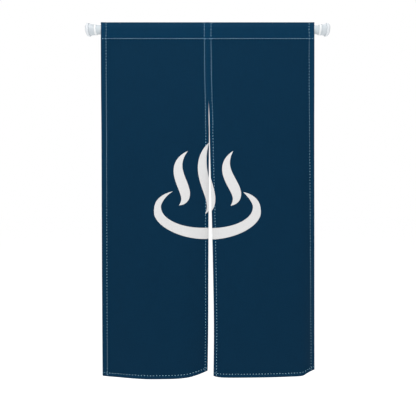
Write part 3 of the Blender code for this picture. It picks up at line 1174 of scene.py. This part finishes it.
def hem_and_pocket_highlight_group():
    """Build the cloth's tone: lighter in the hems, and a painted highlight on the pocket band."""
    group, start, end = new_group(
        "hem_tone_and_pocket_highlight", [("Cloth Place", "NodeSocketVector", None)], [("Tone", "NodeSocketFloat")])
    parts = group.nodes.new("ShaderNodeSeparateXYZ")
    group.links.new(start.outputs["Cloth Place"], parts.inputs[0])
    across, up = parts.outputs[0], parts.outputs[1]
    from_side = calc(group, "MINIMUM", across, calc(group, "SUBTRACT", PANEL_WIDTH, across))
    single = calc(group, "MULTIPLY", ramp(group, from_side, HEM_TONE_START, OUTER_STITCHING),
                  ramp(group, up, HEM_TONE_START, BOTTOM_STITCHING))
    # The pocket band is painted lighter: a painted highlight.
    pocket = ramp(group, up, POCKET_UP - POCKET_LINE, POCKET_UP + POCKET_LINE)
    tone = calc(group, "MULTIPLY_ADD", single, -HEM_TONE, 1 + HEM_TONE)
    tone = calc(group, "MULTIPLY_ADD", pocket, POCKET_PAINTED_HIGHLIGHT, tone)
    group.links.new(tone, end.inputs["Tone"])
    return group


# The sizes of handling marks: scratches along the rod, specks of dust and the mould's ripple.
SCRATCHES = (0.030, 0.0012, 0.0012)
DUST_SPECKS = (0.018, 0.018, 0.018)
MOULD_RIPPLE = (0.0022, 0.0022, 0.0022)


def handling_group():
    """Build the marks that handling leaves: soft scuffs, and dust where nothing rubs."""
    group, start, end = new_group(
        "handling_marks",
        [("Place", "NodeSocketVector", None), ("Amount", "NodeSocketFloat", 0.5)],
        [("Scuff", "NodeSocketFloat"), ("Dust", "NodeSocketFloat"), ("Relief", "NodeSocketFloat")],
    )
    place = start.outputs["Place"]
    scratches = noise(group, place, SCRATCHES, detail=4.0, roughness=0.6)
    scuff = calc(group, "MULTIPLY", calc(group, "POWER", scratches, 3.0), start.outputs["Amount"])
    dust = noise(group, place, DUST_SPECKS, detail=5.0, roughness=0.65)
    dust = calc(group, "MULTIPLY", calc(group, "SUBTRACT", dust, 0.35), start.outputs["Amount"])
    peel = noise(group, place, MOULD_RIPPLE, detail=1.0)
    group.links.new(scuff, end.inputs["Scuff"])
    group.links.new(dust, end.inputs["Dust"])
    group.links.new(peel, end.inputs["Relief"])
    return group


def new_material(name):
    """Start a material and return it with its tree and its Principled shader."""
    material = bpy.data.materials.new(name)
    material.use_nodes = True
    tree = material.node_tree
    return material, tree, tree.nodes["Principled BSDF"]


def place_group(tree, group, **values):
    """Place a node group in a material, with its inputs set or fed."""
    node = tree.nodes.new("ShaderNodeGroup")
    node.node_tree = group
    for name, value in values.items():
        join(tree, value, node.inputs[name.replace("_", " ")])
    return node


def map_place(tree, name):
    """Return a UV map's coordinates."""
    node = tree.nodes.new("ShaderNodeUVMap")
    node.uv_map = name
    return node.outputs["UV"]


def bump(tree, shader, height, strength, distance):
    """Add a Bump node between a height and the shader's normal."""
    node = tree.nodes.new("ShaderNodeBump")
    node.inputs["Strength"].default_value = strength
    node.inputs["Distance"].default_value = distance
    tree.links.new(height, node.inputs["Height"])
    tree.links.new(node.outputs["Normal"], shader.inputs["Normal"])


INDIGO = (0.0021, 0.0235, 0.0540, 1.0)
INK_WHITE = (0.645, 0.641, 0.640, 1.0)
INK_WORN = (0.41, 0.44, 0.47, 1.0)
THREAD_BLUE = (0.40, 0.72, 0.89, 1.0)
PAINT_WHITE = (0.50, 0.55, 0.58, 1.0)
PLASTIC_WHITE = (0.49, 0.53, 0.56, 1.0)
COLLAR_WHITE = (0.72, 0.74, 0.75, 1.0)
PAD_WHITE = (0.62, 0.65, 0.68, 1.0)
DUST_GREY = (0.56, 0.56, 0.55, 1.0)
SEAM_THREAD_BLUE = tuple(1.4 * part for part in INDIGO[:3])


def cloth_material(weave, doubled):
    """Matte indigo cotton canvas: weave relief, uneven yarn, painted pit shade, painted pocket
    highlight.
    """
    material, tree, shader = new_material("indigo_canvas")
    place = map_place(tree, "cloth")
    threads = place_group(tree, weave, Cloth_Place=place, Thread_Spacing=THREAD_SPACING, Slub=0.34)
    # The hems' tone, and the pocket band's painted highlight.
    layers = place_group(tree, doubled, Cloth_Place=place)
    shade = calc(tree, "MULTIPLY", threads.outputs["Shade"], layers.outputs["Tone"])
    colour = tinted(tree, INDIGO[:3], shade)
    tree.links.new(colour, shader.inputs["Base Color"])
    rough = calc(tree, "MULTIPLY_ADD", threads.outputs["Relief"], -0.08, 0.93)
    tree.links.new(rough, shader.inputs["Roughness"])
    shader.inputs["Specular IOR Level"].default_value = 0.05
    bump(tree, shader, threads.outputs["Relief"], 0.55, 0.00025)
    return material


def ink_material(weave):
    """White pigment on the same canvas: it fills the weave, and thins over its deepest pits."""
    material, tree, shader = new_material("white_pigment")
    threads = place_group(tree, weave, Cloth_Place=map_place(tree, "cloth"),
                          Thread_Spacing=THREAD_SPACING, Slub=0.22)
    thin = calc(tree, "MULTIPLY_ADD", threads.outputs["Relief"], -0.30, 0.20)
    thin = calc(tree, "MAXIMUM", thin, 0.0)
    colour = mixed(tree, thin, INK_WHITE, INK_WORN)
    # The weave's shade darkens the ink in the pits too: painted shade.
    shade = calc(tree, "MULTIPLY_ADD", threads.outputs["Shade"], 0.42, 0.60)
    tree.links.new(tinted(tree, colour, shade), shader.inputs["Base Color"])
    rough = calc(tree, "MULTIPLY_ADD", threads.outputs["Relief"], -0.10, 0.82)
    tree.links.new(rough, shader.inputs["Roughness"])
    shader.inputs["Specular IOR Level"].default_value = 0.25
    bump(tree, shader, threads.outputs["Relief"], 0.40, 0.00020)
    return material


# How often the plies cross a stitch from end to end, and how often they meet going round it.
PLY_CROSSINGS = 9.0
PLY_STARTS = 2.0


def thread_material(name, colour):
    """Twisted sewing thread: its plies show as slanting bands, with painted shade in their grooves.
    """
    material, tree, shader = new_material(name)
    parts = tree.nodes.new("ShaderNodeSeparateXYZ")
    tree.links.new(map_place(tree, "thread"), parts.inputs[0])
    round_thread = calc(tree, "MULTIPLY", parts.outputs[1], PLY_STARTS)
    turns = calc(tree, "MULTIPLY_ADD", parts.outputs[0], PLY_CROSSINGS, round_thread)
    ply = calc(tree, "ABSOLUTE", calc(tree, "SINE", calc(tree, "MULTIPLY", turns, pi)))
    # Painted shade: the grooves between the plies are darker.
    shade = calc(tree, "MULTIPLY_ADD", ply, 0.35, 0.75)
    tree.links.new(tinted(tree, colour[:3], shade), shader.inputs["Base Color"])
    rough = calc(tree, "MULTIPLY_ADD", ply, -0.12, 0.62)
    tree.links.new(rough, shader.inputs["Roughness"])
    shader.inputs["Sheen Weight"].default_value = 0.10
    bump(tree, shader, ply, 0.5, 0.00012)
    return material


# One row for each look of the rod's fittings: its roughness, how much handling has marked it,
# and how deep its surface ripples.
Fitting = namedtuple("Fitting", "look material colour roughness wear ripple")
FITTINGS = [
    Fitting("rod", "white_enamel", PAINT_WHITE, 0.38, 0.25, 0.00005),
    Fitting("end_fitting", "white_moulding", PLASTIC_WHITE, 0.36, 0.20, 0.00004),
    Fitting("collar", "white_collar", COLLAR_WHITE, 0.30, 0.12, 0.00004),
    Fitting("end_pad", "soft_white_pad", PAD_WHITE, 0.55, 0.30, 0.00008),
]


def fitting_material(fitting, handling):
    """White paint or plastic: a clean glossy skin with faint scuffs, dust and mould ripple."""
    material, tree, shader = new_material(fitting.material)
    where = tree.nodes.new("ShaderNodeTexCoord").outputs["Object"]
    marks = place_group(tree, handling, Place=where, Amount=fitting.wear)
    colour = mixed(tree, marks.outputs["Dust"], fitting.colour, DUST_GREY)
    tree.links.new(colour, shader.inputs["Base Color"])
    rough = calc(tree, "ADD", marks.outputs["Scuff"], fitting.roughness)
    tree.links.new(rough, shader.inputs["Roughness"])
    shader.inputs["Specular IOR Level"].default_value = 0.32
    bump(tree, shader, marks.outputs["Relief"], 0.10, fitting.ripple)
    return material


FLOOR_SIZE = 80.0
FLOOR_HEIGHT = -1.95
FLOOR_COLOUR = (0.92, 0.92, 0.92, 1.0)
WHITE = (1.0, 1.0, 1.0, 1.0)
# How bright the floor glows, the room as it lights the curtain, and the room as it is seen.
FLOOR_GLOW = 0.665
ROOM_GLOW = 0.36
SEEN_GLOW = 1.0

Softbox = namedtuple("Softbox", "name place target width height power")
SOFTBOXES = [
    Softbox("key_softbox", (-0.3, -2.6, 1.5), (0.0, 0.0, -0.5), 2.4, 1.6, 70),
    Softbox("top_softbox", (0.2, -0.2, 2.2), (0.0, 0.0, -0.4), 2.6, 1.4, 30),
]


def make_stage():
    """Make the pale floor well below the hem, with a glow that takes it to white."""
    bpy.ops.mesh.primitive_plane_add(size=FLOOR_SIZE, location=(0.0, 0.0, FLOOR_HEIGHT))
    floor = bpy.context.object
    floor.name = "studio_floor"
    material, _, shader = new_material("pale_floor")
    shader.inputs["Base Color"].default_value = FLOOR_COLOUR
    shader.inputs["Roughness"].default_value = 0.9
    shader.inputs["Emission Color"].default_value = WHITE
    shader.inputs["Emission Strength"].default_value = FLOOR_GLOW
    floor.data.materials.append(material)


def aim(thing, target):
    """Turn a light or camera to look at a point."""
    direction = Vector(target) - thing.location
    thing.rotation_euler = direction.to_track_quat("-Z", "Y").to_euler()


def add_softbox(softbox):
    """Add a large soft light."""
    data = bpy.data.lights.new(softbox.name, "AREA")
    data.shape = "RECTANGLE"
    data.size = softbox.width
    data.size_y = softbox.height
    data.energy = softbox.power
    light = bpy.data.objects.new(softbox.name, data)
    light.location = softbox.place
    bpy.context.scene.collection.objects.link(light)
    aim(light, softbox.target)


def make_lights():
    """Light the curtain from above and in front, in a white room."""
    for softbox in SOFTBOXES:
        add_softbox(softbox)
    world = bpy.data.worlds.new("white_room")
    bpy.context.scene.world = world
    world.use_nodes = True
    tree = world.node_tree
    room = tree.nodes["Background"]
    room.inputs["Color"].default_value = WHITE
    room.inputs["Strength"].default_value = ROOM_GLOW
    seen = tree.nodes.new("ShaderNodeBackground")
    seen.inputs["Color"].default_value = WHITE
    seen.inputs["Strength"].default_value = SEEN_GLOW
    path = tree.nodes.new("ShaderNodeLightPath")
    either = tree.nodes.new("ShaderNodeMixShader")
    tree.links.new(path.outputs["Is Camera Ray"], either.inputs[0])
    tree.links.new(room.outputs[0], either.inputs[1])
    tree.links.new(seen.outputs[0], either.inputs[2])
    tree.links.new(either.outputs[0], tree.nodes["World Output"].inputs["Surface"])
    bpy.context.scene.view_settings.view_transform = "Standard"


# The camera is level and square to the rod. The view's width is taken at the cloth, which stands
# a little in front of the rod's axis.
CAMERA_DISTANCE = 1.505
CAMERA_PLACE = (0.0016, -CAMERA_DISTANCE, -0.7215)
VIEW_WIDTH_AT_CLOTH = 1.679
CLOTH_FORWARD = 0.005
SENSOR_WIDTH = 36.0


def make_camera():
    """Look straight at the middle of the curtain."""
    data = bpy.data.cameras.new("camera")
    data.sensor_width = SENSOR_WIDTH
    data.sensor_fit = "HORIZONTAL"
    data.lens = SENSOR_WIDTH * (CAMERA_DISTANCE - CLOTH_FORWARD) / VIEW_WIDTH_AT_CLOTH
    camera = bpy.data.objects.new("camera", data)
    camera.location = CAMERA_PLACE
    bpy.context.scene.collection.objects.link(camera)
    aim(camera, (CAMERA_PLACE[0], 0.0, CAMERA_PLACE[2]))
    bpy.context.scene.camera = camera


def declare(piece, slot, *nodes):
    """Let a piece ride on the part's body, and hide the solids that it stands for. The slot is not
    used.
    """
    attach(piece, BODY)
    if nodes:
        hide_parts(*nodes)


def build():
    """Make every piece, the studio and the camera."""
    make_camera()
    weave = weave_group()
    handling = handling_group()
    canvas = cloth_material(weave, hem_and_pocket_highlight_group())
    ink = ink_material(weave)
    light_thread = thread_material("light_blue_thread", THREAD_BLUE)
    dark_thread = thread_material("indigo_thread", SEAM_THREAD_BLUE)
    inked_thread = thread_material("inked_thread", INK_WHITE)
    fittings = {fitting.look: fitting_material(fitting, handling) for fitting in FITTINGS}

    rod_pieces = make_rod(fittings)
    for node, (piece, slot) in rod_pieces.items():
        declare(piece, slot, node)

    grids_by_side = {}
    for panel, sheet in zip(PANELS, hanging_sheets()):
        grids = cloth_faces(panel, sheet)
        grids_by_side[panel.side] = grids
        cloth = make_cloth(panel, grids, canvas)
        declare(cloth, "cloth", panel.node)
        print_skin = make_print(panel, grids, ink)
        declare(print_skin, "print")
        stitching, inked = make_stitching(panel, grids, light_thread, inked_thread)
        declare(stitching, "thread")
        declare(inked, "print")

    seam = make_seam_stitching(grids_by_side["left"], grids_by_side["right"], dark_thread)
    declare(seam, "cloth")
    make_stage()
    make_lights()


build()
